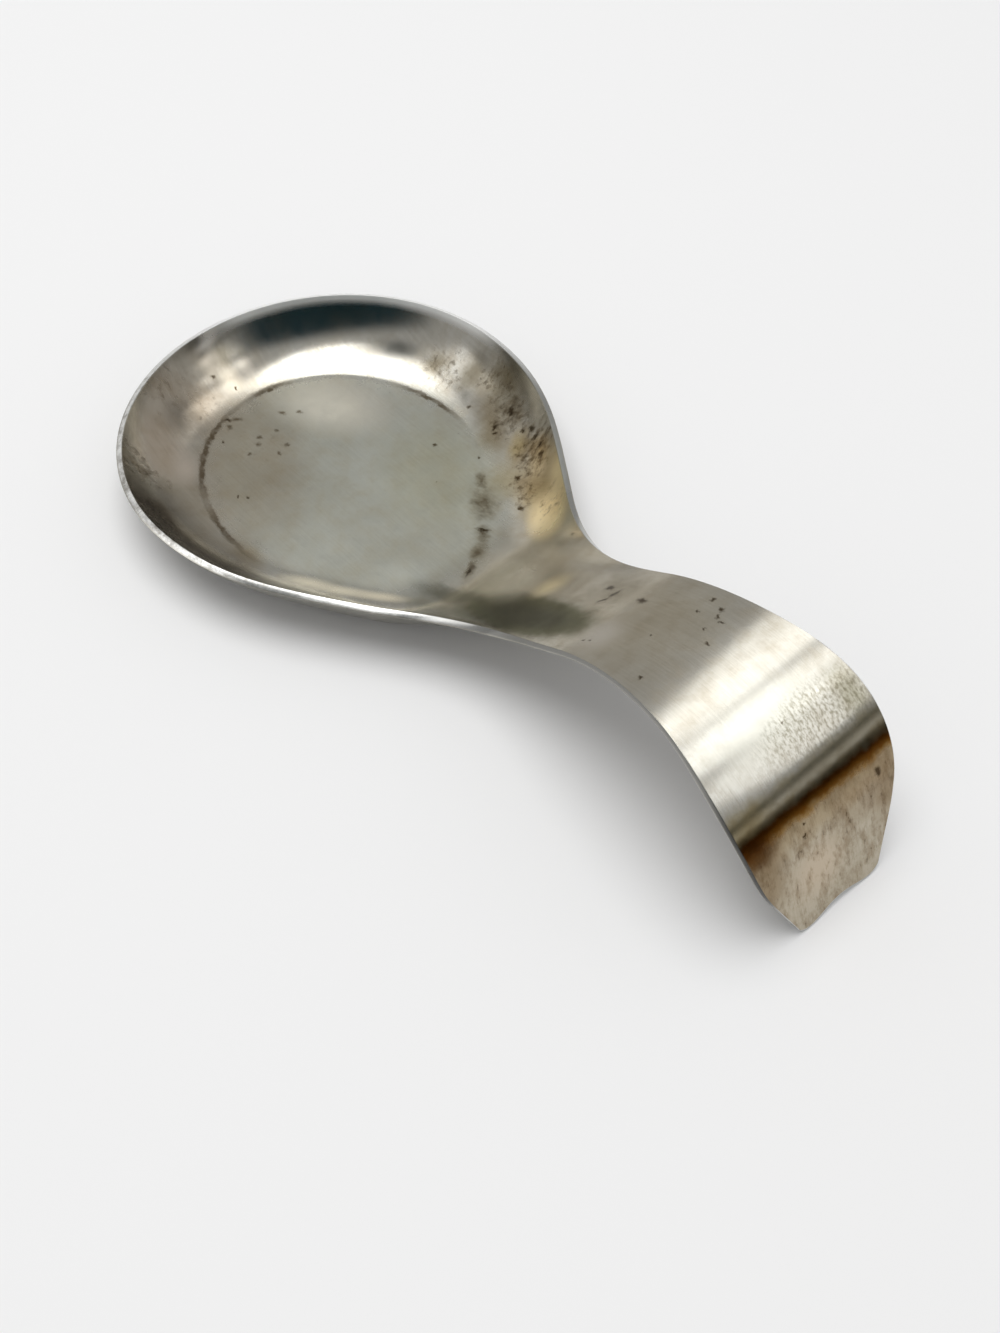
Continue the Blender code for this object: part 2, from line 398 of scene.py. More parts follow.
# The notch between the two feet cuts the end of the tail back in the middle.
down_tail = add(press, "MapRange", flat_parts["X"], size["Flare Reach"], size["Tail End"],
                0.0, 1.0)
fade = add(press, "Math", down_tail, NOTCH_FADE, operation="POWER")
foot = add(press, "Math", size["Foot Spacing"], 2.0, operation="DIVIDE")
off_middle = add(press, "Math", flat_parts["Y"], foot, operation="DIVIDE")
off_squared = add(press, "Math", off_middle, off_middle, operation="MULTIPLY")
dip = add(press, "Math", 1.0, off_squared, operation="SUBTRACT")
dip_squared = add(press, "Math", dip, dip, operation="MULTIPLY")
faded_dip = add(press, "Math", dip_squared, fade, operation="MULTIPLY")
cut_back = add(press, "Math", faded_dip, size["Notch Depth"], operation="MULTIPLY")
along = add(press, "Math", flat_parts["X"], cut_back, operation="SUBTRACT")

profile_geometry = add(press, "GeometryNodeObjectInfo", size["Profile"]).node.outputs["Geometry"]
along_profile = add(press, "Math", along, PROFILE_START, operation="SUBTRACT")
on_profile = add(press, "GeometryNodeSampleCurve", profile_geometry, None, along_profile,
                 mode="LENGTH", use_all_curves=True).node.outputs["Position"]
off_profile = add(press, "CombineXYZ", 0.0, flat_parts["Y"], rise)
bent_place = add(press, "VectorMath", on_profile, off_profile, operation="ADD")
bent_sheet = add(press, "GeometryNodeSetPosition", marked_grid, None, bent_place)
whole_sheet = add(press, "GeometryNodeMergeByDistance", bent_sheet, None, WELD_DISTANCE)
print("the sheet follows its profile")

# %% Give it a hand-pressed unevenness and its thickness
# The faces are pushed down by the thickness, which makes the lower skin and the cut edge. Joining
# the upper skin on again closes the sheet.
uneven_scale = add(press, "Math", 1.0, size["Uneven Wave"], operation="DIVIDE")
waves = add(press, "TexNoise", flat, uneven_scale, 1.0, 0.4, noise_dimensions="3D")
wave_height = add(press, "Math", waves, size["Unevenness"], operation="MULTIPLY")
sheet_normal = add(press, "GeometryNodeInputNormal")
wave_offset = add(press, "VectorMath", sheet_normal, wave_height, operation="SCALE")
upper_skin = add(press, "GeometryNodeSetPosition", whole_sheet, None, None, wave_offset)

inward = add(press, "Math", size["Thickness"], -1.0, operation="MULTIPLY")
pushed = add(press, "GeometryNodeExtrudeMesh", upper_skin, None, None, inward, False, mode="FACES")
lower_skin = add(press, "GeometryNodeFlipFaces", pushed)
lower_skin = add(press, "GeometryNodeStoreNamedAttribute", lower_skin, None, "upper_face", 0.0,
                 data_type="FLOAT", domain="POINT")
both_skins = press.nodes.new("GeometryNodeJoinGeometry")
press.links.new(upper_skin, both_skins.inputs[0])
press.links.new(lower_skin, both_skins.inputs[0])
closed_sheet = add(press, "GeometryNodeMergeByDistance", both_skins.outputs[0], None, WELD_DISTANCE)
real_sheet = add(press, "GeometryNodeRealizeInstances", closed_sheet)
smooth_sheet = add(press, "GeometryNodeSetShadeSmooth", real_sheet)
finished_sheet = add(press, "GeometryNodeSetMaterial", smooth_sheet, None, size["Finish"])
press.links.new(finished_sheet, press.nodes.new("NodeGroupOutput").inputs[0])
print(f"the tree has {len(press.nodes)} nodes")

# %% [markdown]
# ## The bare steel
# Stainless steel of this kind is rolled and belt-brushed before it is pressed, so its grain runs
# lengthwise. A real brushed sheet could be copied scratch by scratch; noise that is stretched along
# the sheet gives the same look from any distance. The material keeps one metal shader and changes
# only its colour, roughness and bump, all by patterns laid on the flat sheet in millimetres.

# %% Colours
def colour(code):
    """An sRGB hex value as a linear colour with full alpha."""
    channels = [int(code[i:i + 2], 16) / 255 for i in (1, 3, 5)]
    return (*[c / 12.92 if c <= 0.04045 else ((c + 0.055) / 1.055) ** 2.4 for c in channels], 1.0)


# Gives the eye a grey, slightly warm metal whose shine is dulled unevenly by use.
steel_finish = bpy.data.materials.new("worn_brushed_stainless_steel")
steel_finish.use_nodes = True
steel = steel_finish.node_tree
shader = steel.nodes["Principled BSDF"]
shader.inputs["Metallic"].default_value = 1.0
print("started", steel_finish.name)

# %% Places on the flat sheet, in millimetres
flat_metres = add(steel, "Attribute", attribute_name="flat").node.outputs["Vector"]
flat_mm = add(steel, "VectorMath", flat_metres, 1000.0, operation="SCALE")
upper_face = add(steel, "Attribute", attribute_name="upper_face").node.outputs["Fac"]
mm_parts = add(steel, "SeparateXYZ", flat_mm).node.outputs
along_mm, across_mm = mm_parts["X"], mm_parts["Y"]
print("patterns are laid out in millimetres along and across the sheet")

# %% Brushed grain and the grey film
# Each belt scratch is about 0.05 mm wide, too fine to show, so it is drawn 0.3 mm wide. A noise
# takes its scale, detail and roughness in that order; a map range takes where it starts and ends
# and the share that it gives there.
GRAIN_LENGTH_MM, GRAIN_WIDTH_MM = 14.0, 0.30
FILM_PATCH_MM = 19.0
CLOUD_MM = 4.5
MIX = {"data_type": "RGBA", "blend_type": "MIX"}
STAIN = {"data_type": "RGBA", "blend_type": "MULTIPLY"}


def lengthwise_noise(length_mm, width_mm, detail, roughness):
    """Noise drawn out along the sheet, each mark about this long and this wide."""
    stretched = add(steel, "VectorMath", flat_mm, (1 / length_mm, 1 / width_mm, 1.0),
                    operation="MULTIPLY")
    return add(steel, "TexNoise", stretched, 1.0, detail, roughness)


grain = lengthwise_noise(GRAIN_LENGTH_MM, GRAIN_WIDTH_MM, 2.0, 0.55)
film = add(steel, "TexNoise", flat_mm, 1 / FILM_PATCH_MM, 5.0, 0.62)
clouds = add(steel, "TexNoise", flat_mm, 1 / CLOUD_MM, 5.0, 0.65)
film_share = add(steel, "MapRange", film, 0.36, 0.66, 0.0, 1.0)
cloud_share = add(steel, "MapRange", clouds, 0.45, 0.68, 0.0, 0.5)
grain_share = add(steel, "MapRange", grain, 0.35, 0.62, 0.22, 0.0)
base = add(steel, "Mix", film_share, colour("#c0beb6"), colour("#b3afa4"), **MIX)
base = add(steel, "Mix", cloud_share, base, colour("#e4ddd2"), **STAIN)
base = add(steel, "Mix", grain_share, base, colour("#d2d0cb"), **STAIN)
print("grain, film and clouds are in")

# %% [markdown]
# ## Stains from use
# Sauce dries to a brown ring round the floor and heat browns the back of the bowl. The dark band
# under the near rim and the olive patch along the neck are painted dark reflection, the olive one
# over some stain. They could be painted on by hand. Here each one is a soft ellipse on the flat
# sheet, so it has a place, a reach and a colour that can be read and changed. Every border wobbles,
# because no stain ends in a clean line.

# %% Wobbling places
WOBBLE_MM, WOBBLE_WAVE_MM = 5.0, 6.0
MIDDLE_GREY = (0.5, 0.5, 0.5)   # what noise gives on average, so it stands for no shift at all


def shaken(place, reach, wave, detail):
    """The same places, each moved by up to half the reach by noise of this wave, in millimetres."""
    noise = add(steel, "TexNoise", place, 1 / wave, detail, 0.65).node.outputs["Color"]
    parts = add(steel, "SeparateColor", noise).node.outputs
    shift = add(steel, "CombineXYZ", parts["Red"], parts["Green"], 0.5)
    shift = add(steel, "VectorMath", shift, MIDDLE_GREY, operation="SUBTRACT")
    return add(steel, "VectorMath", shift, (reach, reach, 0.0), place, operation="MULTIPLY_ADD")


ragged_mm = shaken(flat_mm, WOBBLE_MM, WOBBLE_WAVE_MM, 4.0)
print(f"borders wobble by up to {WOBBLE_MM / 2} mm")


# %% One mark, and several together
def patch(place, along, across, along_reach, across_reach, turn=0.0, soft=0.7):
    """Share of a mark round one place, in millimetres and degrees: 1 inside, 0 past its reach."""
    c, s = cos(radians(turn)), sin(radians(turn))
    off = add(steel, "VectorMath", place, (along, across, 0.0), operation="SUBTRACT")
    lengthwise = add(steel, "VectorMath", off, (c / along_reach, s / along_reach, 0.0),
                     operation="DOT_PRODUCT")
    sideways = add(steel, "VectorMath", off, (-s / across_reach, c / across_reach, 0.0),
                   operation="DOT_PRODUCT")
    inside = add(steel, "CombineXYZ", lengthwise, sideways, 0.0)
    reach = add(steel, "VectorMath", inside, operation="LENGTH")
    return add(steel, "MapRange", reach, 1.0, 1.0 - soft, 0.0, 1.0, interpolation_type="SMOOTHSTEP")


def together(shares):
    """Share of several marks, the largest at each place. They are made one after another, because
    the renderer can hold only so many values of a material at once."""
    most = next(shares)
    for share in shares:
        most = add(steel, "Math", most, share, operation="MAXIMUM")
    return most


print("marks can be laid on the flat sheet")

# %% Dull film on the floor
# The floor was scoured most and is dull all over, except at its far front where it was wiped clean.
FLOOR_REACH_MM = (48.0, 38.5)
floor_share = patch(flat_mm, 2.5, 1.0, *FLOOR_REACH_MM, 0.0, 0.3)
wiped = patch(ragged_mm, -22.0, 17.0, 21.0, 13.0, 20.0, 1.0)
dull_share = add(steel, "Math", wiped, -0.8, 1.0, operation="MULTIPLY_ADD")
dull_share = add(steel, "Math", dull_share, floor_share, operation="MULTIPLY")
base = add(steel, "Mix", dull_share, base, colour("#f2f7f5"), **STAIN)
print("the floor is dulled")

# %% Films and tints
# Place along and across, reach along and across, turn, softness and colour of each.
films = {
    "brown side of the floor": (-20, -15, 40, 21, -34, 0.7, "#dfd6cd"),
    "olive side of the floor": (14, 16, 26, 20, -34, 0.8, "#fcfaf0"),
    "film on the front wall": (-44, -20, 12, 18, 0, 0.9, "#f8efe6"),
    "pink film on the front wall": (-33, -31, 14, 9, -42, 0.8, "#fff3e8"),
    "grey film by the ring": (-39.5, -19, 7, 8, 0, 0.9, "#c2c2c2"),
    "grey film on the far front wall": (-48.2, -5.4, 4.5, 4, 40, 0.9, "#b4b1aa"),
    "khaki film behind the floor": (27, 27, 10, 7, -38, 0.9, "#eae0ca"),
    "warm tinge of the near wall": (-14, -36, 25, 8, -16, 0.8, "#fffaf1"),
    "warm tinge of the neck": (60, 8, 30, 26, 0, 0.8, "#fdf5e4"),
    "grey film at the far front": (-49.2, -0.8, 3.6, 5, 0, 0.9, "#c6c2b8"),
    "dirty film on the far wall": (-14, 39.5, 5, 4.5, 20, 0.9, "#cbc6bc"),
    "grey film low on the right wall": (12, 35.5, 16, 5.5, -27, 0.9, "#cbc1af"),
    "brown veil at the back": (22.5, 35, 7, 4.5, -32, 0.9, "#e4d3ac"),
    "brown foot of the near wall": (5, -34, 10, 5, 8, 0.9, "#f3eadb"),
    "brown film on the right wall": (9, 43, 17, 9, -12, 0.85, "#d0cabd"),
    "grey film on the far right wall": (-4, 43, 6, 7, 10, 0.9, "#b9b5ac"),
    "dark cloud under the right rim": (6, 46, 7, 4, -12, 0.9, "#d8d2c4"),
    "yellow tint at the back": (40, 27, 20, 9, -31, 0.85, "#fae5bb"),
    # The olive patch along the neck, with its dark tongue and heart, is partly olive stain and
    # partly painted dark reflection.
    "olive stain and painted dark reflection along the neck": (75.7, -7.6, 27, 9.2, 2, 0.38, "#808162"),
    "dark tongue of the painted reflection on the neck": (47.5, -8, 14, 4.4, 12, 0.8, "#a8a89e"),
    "dark heart of the painted reflection on the neck": (77, -8, 22, 6.6, 2, 0.7, "#b4b29a"),
    "grey film by the near rim": (44, -13.5, 9, 4, 12, 0.9, "#d4d4cc"),
    "warm film on the handle": (100, 0, 36, 30, 0, 0.8, "#fff8ea"),
    "grey film past the neck": (91, 6.5, 11.5, 11, 0, 0.9, "#d0cdc6"),
    "grey film on the tail": (165, 8, 9, 10, 0, 0.9, "#efe9e1"),
    "brown end of the bend": (154, -17, 6, 8, 0, 0.9, "#fbf1d8"),
    "dull right side of the hump": (146, 17, 9, 6, 0, 0.9, "#cfcdc1"),
}
for *mark, code in films.values():
    base = add(steel, "Mix", patch(ragged_mm, *mark), base, colour(code), **STAIN)
print(f"{len(films)} films and tints")

# %% Bright places
# Rubbed places shine more than the rest, so their colour is mixed in instead of multiplied. The
# strip along the near wall, the gold streak on the neck, the white of the hump and the shine at the
# far front are painted highlights, mixed in the same way.
bright = {
    "gold heart of the tint": (46, 23, 11, 6, -31, 0.7, "#fbe8bc"),
    "worn neck": (56, 5, 18, 11, -30, 0.9, "#f0ead9"),
    "tan back wall": (31, 34, 9, 3.6, -35, 0.9, "#d6c4a0"),
    "wiped front of the floor": (-22.5, 11.5, 20, 13, 30, 1.0, "#d8d4c5"),
    "shine at the far front": (-44.4, -2.6, 4.5, 4.2, 0, 1.0, "#c9c0ae"),
    "pale far front wall": (-50, -7, 6, 7, 0, 1.0, "#b9b1a2"),
    "pale rim at the far front": (-52.6, -2.6, 2.2, 6, 15, 0.9, "#fbf6ec"),
    "worn spot at the far front": (-45.4, 3.2, 3.0, 2.6, 30, 0.9, "#cdc6b8"),
    "tan strip under the back rim": (42, 30.8, 13, 3.8, -33, 0.9, "#eddcb4"),
    # Painted highlight: a yellow glint on the neck, at the border of the painted dark reflection.
    "painted gold highlight on the neck": (71.5, 3.4, 5.5, 7, 0, 1.0, "#f0e1ba"),
    "pale patch past the neck": (102, -8, 7, 8, 0, 1.0, "#cdc6b8"),
    # Painted highlight: whitens the steel where the second bright band lies on the hump.
    "painted white highlight on the hump": (140, -2, 9, 22, 0, 0.9, "#c4c3b9"),
    "pale end of the tail": (173, -4, 10, 11, 0, 0.9, "#c4bcb0"),
    "pale strip by the ring": (-27, -28.5, 9, 5, -42, 1.0, "#c4b9aa"),
    # Painted highlight: the light strip along the near wall is a reflection, mixed into the colour.
    "left end of the painted highlight strip": (21.5, -28.2, 10, 2.9, 33, 1.0, "#fff6dc"),
    "middle of the painted highlight strip": (28.5, -24.0, 9, 2.5, 38, 1.0, "#fff6dc"),
    "right end of the painted highlight strip": (35, -18.9, 10, 2.2, 39, 1.0, "#f6ecd2"),
}
for *mark, code in bright.values():
    base = add(steel, "Mix", patch(flat_mm, *mark), base, colour(code), **MIX)
print(f"{len(bright)} bright places")

# %% Painted dark reflection under the near rim
# The near wall mirrors the dark side of the room here, so this painted dark reflection follows the
# cut edge instead of filling an ellipse.
RIM_SHADE_ENDS, RIM_SHADE_FULL = 0.0172, 0.008    # metres in from the edge
edge_metres = add(steel, "Attribute", attribute_name="from_edge").node.outputs["Fac"]
under_rim = add(steel, "MapRange", edge_metres, RIM_SHADE_ENDS, RIM_SHADE_FULL, 0.0, 1.0)
near_side = patch(ragged_mm, -4, -42, 27, 18, 5, 0.6)
rim_shade_share = add(steel, "Math", under_rim, near_side, operation="MULTIPLY")
# Painted dark reflection: the colour is darkened where the near wall mirrors the dark side of the
# room.
base = add(steel, "Mix", rim_shade_share, base, colour("#61584b"), **STAIN)
print("the near rim has its painted dark reflection")

# %% The line of the dried ring
# The ring is an oval, longer behind the floor's middle than ahead of it, that noise pushes about.
RING_FRONT_MM, RING_BACK_MM, RING_SIDE_MM = 38.2, 43.0, 33.4
RING_MEAN_MM = 36.0
RING_WIDTH_MM = 1.1
RING_BREAK_MM = 2.5
RING_WANDER = 0.07              # how far noise pushes the line, as a share of the oval
behind = add(steel, "Math", along_mm, 0.0, operation="GREATER_THAN")
ring_reach = add(steel, "MapRange", behind, 0.0, 1.0, RING_FRONT_MM, RING_BACK_MM)
ring_along = add(steel, "Math", along_mm, ring_reach, operation="DIVIDE")
ring_across = add(steel, "Math", across_mm, RING_SIDE_MM, operation="DIVIDE")
ring_place = add(steel, "CombineXYZ", ring_along, ring_across, 0.0)
ring_radius = add(steel, "VectorMath", ring_place, operation="LENGTH")
ring_breaks = add(steel, "TexNoise", flat_mm, 1 / RING_BREAK_MM, 4.0, 0.7)
ring_offset = add(steel, "Math", ring_breaks, 0.5, operation="SUBTRACT")
ring_shaken = add(steel, "Math", ring_offset, RING_WANDER, ring_radius, operation="MULTIPLY_ADD")
off_ring = add(steel, "Math", ring_shaken, 1.0, operation="SUBTRACT")
off_ring = add(steel, "Math", off_ring, operation="ABSOLUTE")
ring_line = add(steel, "MapRange", off_ring, RING_WIDTH_MM / RING_MEAN_MM,
                0.4 * RING_WIDTH_MM / RING_MEAN_MM, 0.0, 1.0)
print(f"the ring's line is {RING_WIDTH_MM} mm to each side")

# %% Where the ring is left
# Place along and across, reach and softness: elsewhere the ring was scoured away.
ring_left = ((-28, -20, 24, 0.7), (-6, -32, 18, 1.0), (-36, 4, 11, 0.9), (-8, 33, 15, 0.8))
ring_strong = together(patch(flat_mm, along, across, reach, reach, 0.0, soft)
                       for along, across, reach, soft in ring_left)
ring_share = add(steel, "Math", ring_line, ring_strong, operation="MULTIPLY")
ring_gaps = add(steel, "MapRange", ring_breaks, 0.40, 0.55, 0.7, 0.95)
ring_share = add(steel, "Math", ring_share, ring_gaps, operation="MULTIPLY")
base = add(steel, "Mix", ring_share, base, colour("#746959"), **STAIN)
print("the ring is dried on")

# %% Speckled corners
# Place along and across, reach along and across, turn and strength: where dark flecks collected.
BLOTCH_MM, FLECK_MM = 6.5, 2.0


def speckle(below, noise, start, end, most, where, code):
    """Share of the specks that noise leaves inside a place, and the colour with them on it."""
    share = add(steel, "MapRange", noise, start, end, 0.0, most)
    share = add(steel, "Math", share, where, operation="MULTIPLY")
    return share, add(steel, "Mix", share, below, colour(code), **STAIN)


speckled = [
    (-11, 40, 13, 8, 5, 0.6), (13, 40, 13, 7, -20, 1.0), (28, 35, 13, 8, -30, 1.0),
    (33, 27, 12, 6, -35, 0.8), (5, 44, 16, 7, -12, 0.6), (-30, -41, 16, 8, 30, 0.8),
    (-12, -46, 18, 6, 5, 0.7), (-42, -14, 10, 14, 0, 0.35), (-46, -20, 10, 20, 0, 0.4),
    (-21, -9, 14, 14, 0, 0.25), (56, 8, 14, 12, -20, 0.3), (44, 25, 11, 6, -31, 0.5),
]
dirty = together(
    add(steel, "Math", patch(ragged_mm, *mark, 0.9), strength, operation="MULTIPLY")
    for *mark, strength in speckled)
blotch_noise = add(steel, "TexNoise", flat_mm, 1 / BLOTCH_MM, 5.0, 0.7)
blotch_share = add(steel, "MapRange", blotch_noise, 0.42, 0.60, 0.0, 1.0)
off_floor = add(steel, "Math", 1.0, floor_share, operation="SUBTRACT")
blotch_share = add(steel, "Math", blotch_share, off_floor, operation="MULTIPLY")
blotch_share = add(steel, "Math", blotch_share, dirty, operation="MULTIPLY")
base = add(steel, "Mix", blotch_share, base, colour("#cdc3b3"), **STAIN)
fleck_noise = add(steel, "TexNoise", flat_mm, 1 / FLECK_MM, 5.0, 0.7)
fleck_level = add(steel, "Math", dirty, 0.19, fleck_noise, operation="MULTIPLY_ADD")
fleck_reach = add(steel, "MapRange", dirty, 0.0, 0.5, 0.0, 1.0)
fleck_share, base = speckle(base, fleck_level, 0.60, 0.80, 0.9, fleck_reach, "#8f8475")
print(f"{len(speckled)} speckled corners")

# %% The smear behind the floor
# Sauce ran down here and dried in a ragged trail: place, reach and turn of each run.
SMEAR_GRAIN_MM = 1.8
smear_runs = (
    (22.5, 22.7, 4.0, 2.6, -38), (28.5, 18.3, 9.0, 5.0, -38), (36.0, 12.0, 4.5, 3.0, -50),
    (39.5, 7.5, 5.5, 2.4, -55), (43.0, 1.8, 6.5, 1.9, -62),
)
smear = together(patch(ragged_mm, *mark, 0.9) for mark in smear_runs)
base = add(steel, "Mix", smear, base, colour("#dad3c7"), **STAIN)
smear_noise = add(steel, "TexNoise", flat_mm, 1 / SMEAR_GRAIN_MM, 5.0, 0.65)
smear_level = add(steel, "Math", smear, 0.22, smear_noise, operation="MULTIPLY_ADD")
_, base = speckle(base, smear_level, 0.52, 0.84, 0.85, smear, "#a0968a")
print(f"the smear has {len(smear_runs)} runs")

# %% Single spots
# Place along and across, reach along and across, and turn of those that have one.
SPOT_WOBBLE_MM, SPOT_WAVE_MM = 2.2, 1.1
spots = [
    (5.5, 22.7, 0.8, 0.7), (1.6, 37.2, 0.8, 0.7), (13.2, 41.0, 2.0, 1.2, -20),
    (13.5, 35.2, 0.8, 0.7), (22.7, 39.0, 1.6, 0.8), (25.5, 37.5, 1.4, 0.7, 20),
    (28.6, 36.2, 1.1, 0.9), (20.5, 38.0, 1.2, 0.6), (-46.5, -6.1, 0.7, 0.6),
    (-42.3, -2.5, 0.6, 0.5), (-11.8, -24.0, 0.6, 0.5), (-10.1, -22.2, 0.6, 0.5),
    (-35.1, -10.0, 1.2, 1.0), (100.3, 5.0, 2.0, 1.3), (113.1, 12.4, 0.9, 1.1),
    (116.4, 11.3, 0.9, 1.0), (117.3, 9.4, 0.6, 1.1, 20), (119.0, 8.6, 0.7, 0.4),
    (111.1, -2.8, 0.5, 0.5), (118.2, -12.6, 0.8, 0.7), (162.7, 15.0, 1.8, 1.2),
    (163.4, -6.2, 0.9, 0.8), (142.6, 0.9, 0.4, 0.4), (12.2, 36.2, 0.9, 1.5), (29.0, 28.7, 1.6, 1.2),
    (36.6, 23.0, 1.3, 0.8), (30.7, 34.5, 1.6, 1.0), (16.1, 27.8, 0.5, 0.4), (60.3, 18.8, 0.7, 0.5),
    (15.7, 14.8, 0.4, 0.4), (35.0, 12.7, 2.6, 0.7, 34), (43.6, 0.8, 2.4, 0.7, -62),
    (-29.6, -15.6, 0.6, 0.5), (117.8, 4.9, 0.6, 0.5), (121.1, 2.4, 0.7, 0.4),
    (113.1, 8.0, 0.7, 0.5), (99.7, -10.7, 0.7, 0.4), (101.2, -10.1, 0.5, 0.4),
    (161.1, -5.6, 0.6, 0.5), (91.4, 5.2, 0.7, 2.4, -8), (90.6, 2.4, 0.7, 2.1, -28),
    (88.0, 6.9, 1.6, 1.2),
]
spot_mm = shaken(flat_mm, SPOT_WOBBLE_MM, SPOT_WAVE_MM, 3.0)
spotted = together(patch(spot_mm, *mark, soft=0.8) for mark in spots)
base = add(steel, "Mix", spotted, base, colour("#7d7160"), **STAIN)
print(f"{len(spots)} single spots")

# %% Faint specks on the floor
# The same, but almost scoured away.
faint_specks = [
    (-25.0, -7.8, 1.3, 0.9), (-23.3, -9.6, 1.2, 0.9, 30), (-21.9, -13.1, 0.9, 0.8),
    (-17.3, -7.7, 1.3, 0.7), (-24.3, -3.2, 1.0, 0.8), (-18.4, -4.5, 0.9, 0.8),
    (-34.0, -8.3, 2.0, 1.1, 40), (-33.0, -11.4, 1.4, 1.0), (-28.5, 1.5, 1.6, 1.0, 20),
    (-26.0, 5.0, 1.4, 0.9),
]
faint = together(patch(spot_mm, *mark, soft=0.9) for mark in faint_specks)
base = add(steel, "Mix", faint, base, colour("#a89f92"), **STAIN)
print(f"{len(faint_specks)} faint specks")

# %% [markdown]
# ## The tail
# The tail stood closest to the flame: steel that gets hot takes a thin oxide skin whose colour turns
# from straw through brown to blue. Below that line the tail is dull and mottled. Both could be a
# painted picture wrapped on the sheet. A colour ramp along the sheet gives the line instead, and
# noise stretched lengthwise gives the mottling, so both stay sharp from any distance.

# %% Heat tint across the bend
TINT_START_MM, TINT_END_MM = 150.0, 166.0
tint_stops = (
    (0.0, "#ffffff"), (0.12, "#efe8d4"), (0.25, "#fff9ea"), (0.36, "#dac9a7"), (0.43, "#b46c1c"),
    (0.52, "#ba8232"), (0.58, "#e2bc84"), (0.66, "#f6e7cf"), (1.0, "#ffffff"),
)
ragged_along = add(steel, "SeparateXYZ", ragged_mm).node.outputs["X"]
tint_place = add(steel, "MapRange", ragged_along, TINT_START_MM, TINT_END_MM, 0.0, 1.0)
heat_tint = add(steel, "ValToRGB", tint_place)
ramp = heat_tint.node.color_ramp
for place, _ in tint_stops[1:-1]:
    ramp.elements.new(place)
for stop, (place, code) in zip(ramp.elements, tint_stops):
    stop.position = place
    stop.color = colour(code)
base = add(steel, "Mix", 1.0, base, heat_tint, **STAIN)
near_end = patch(ragged_mm, 160.0, -18, 5.0, 8, 0, 0.8)
base = add(steel, "Mix", near_end, base, colour("#9c8262"), **STAIN)
print(f"the tint runs from {TINT_START_MM} to {TINT_END_MM} mm along the sheet")

# %% Mottling of the tail
TAIL_START_MM, TAIL_FULL_MM = 157.0, 163.0
on_tail = add(steel, "MapRange", ragged_along, TAIL_START_MM, TAIL_FULL_MM, 0.0, 1.0)
base = add(steel, "Mix", on_tail, base, colour("#fff6e8"), **STAIN)
mottle = lengthwise_noise(7.0, 3.2, 6.0, 0.7)
mottle_share, base = speckle(base, mottle, 0.46, 0.62, 0.78, on_tail, "#c9bcab")
specks = lengthwise_noise(1.9, 0.7, 3.0, 0.6)
speck_share, base = speckle(base, specks, 0.55, 0.66, 0.9, mottle_share, "#9a8c7c")
for side_mm in (-17, 17):
    share = patch(ragged_mm, 168, side_mm, 12, 9, 0, 0.9)
    base = add(steel, "Mix", share, base, colour("#d3c6b4"), **STAIN)
print("the tail is mottled")

# %% Patina below the crest
# The same lengthwise specks, paler, where the hump turns down towards the tail.
patina = patch(ragged_mm, 145.5, 9, 8, 22, 0, 0.7)
patina_specks = lengthwise_noise(1.2, 0.65, 3.0, 0.65)
_, base = speckle(base, patina_specks, 0.44, 0.62, 0.85, patina, "#b0ac9d")
print("the hump has its patina")

# %% [markdown]
# ## Cut edge, underside and shine
# The cut edge of the sheet is dull and nicked, and the underside never saw the sauce. Each could get
# a material of its own, but then a hard border would show between them, so one finish fades from one
# to the next by how far up the thickness a point lies. The rougher the dirt, the softer the shine,
# so the same shares that colour the steel also roughen it.

# %% Underside and cut edge
NICK_MM = 2.4
under = add(steel, "Mix", film_share, colour("#b4b1a8"), colour("#98948a"), **MIX)
base = add(steel, "Mix", upper_face, under, base, **MIX)
edge_share = add(steel, "MapRange", upper_face, 0.85, 0.5, 0.0, 1.0)
lower_skin_share = add(steel, "MapRange", upper_face, 0.02, 0.15, 0.0, 1.0)
edge_share = add(steel, "Math", edge_share, lower_skin_share, operation="MULTIPLY")
nick_depth = add(steel, "Math", upper_face, 4.0, operation="MULTIPLY")
nick_place = add(steel, "CombineXYZ", along_mm, across_mm, nick_depth)
nick_noise = add(steel, "TexNoise", nick_place, 1 / NICK_MM, 5.0, 0.7)
nicks = add(steel, "MapRange", nick_noise, 0.40, 0.66, 0.0, 1.0)
nicked = patch(flat_mm, -15, -45, 75, 45, 0, 0.6)
nicks = add(steel, "Math", nicks, nicked, operation="MULTIPLY")
cut_metal = add(steel, "Mix", nicks, colour("#e4e4e1"), colour("#a19e98"), **MIX)
print("the underside is plain and the edge is nicked")

# %% Dull and shaded stretches of the edge, and a painted highlight on the far rim
# Place, reach, turn, softness and colour, as for the films. The near sides of the handle and the
# tail are darkened partly as dull metal and partly as painted dark reflection. On the far side of
# the bowl the edge and a narrow strip beside it are painted near-white as the rim's highlight.
RIM_HIGHLIGHT_ENDS, RIM_HIGHLIGHT_FULL = 0.0020, 0.0006   # metres in from the edge
dull_and_shaded_edges = {
    "near side of the handle": (121, -20, 66, 12, 0, 0.3, "#8d8c89"),
    "near side of the tail": (162, -20, 20, 10, 0, 0.6, "#8a8987"),
    "right side of the bowl": (43, 32, 44, 14, -26, 0.5, "#b9b9b6"),
}
for *mark, code in dull_and_shaded_edges.values():
    cut_metal = add(steel, "Mix", patch(flat_mm, *mark), cut_metal, colour(code), **STAIN)
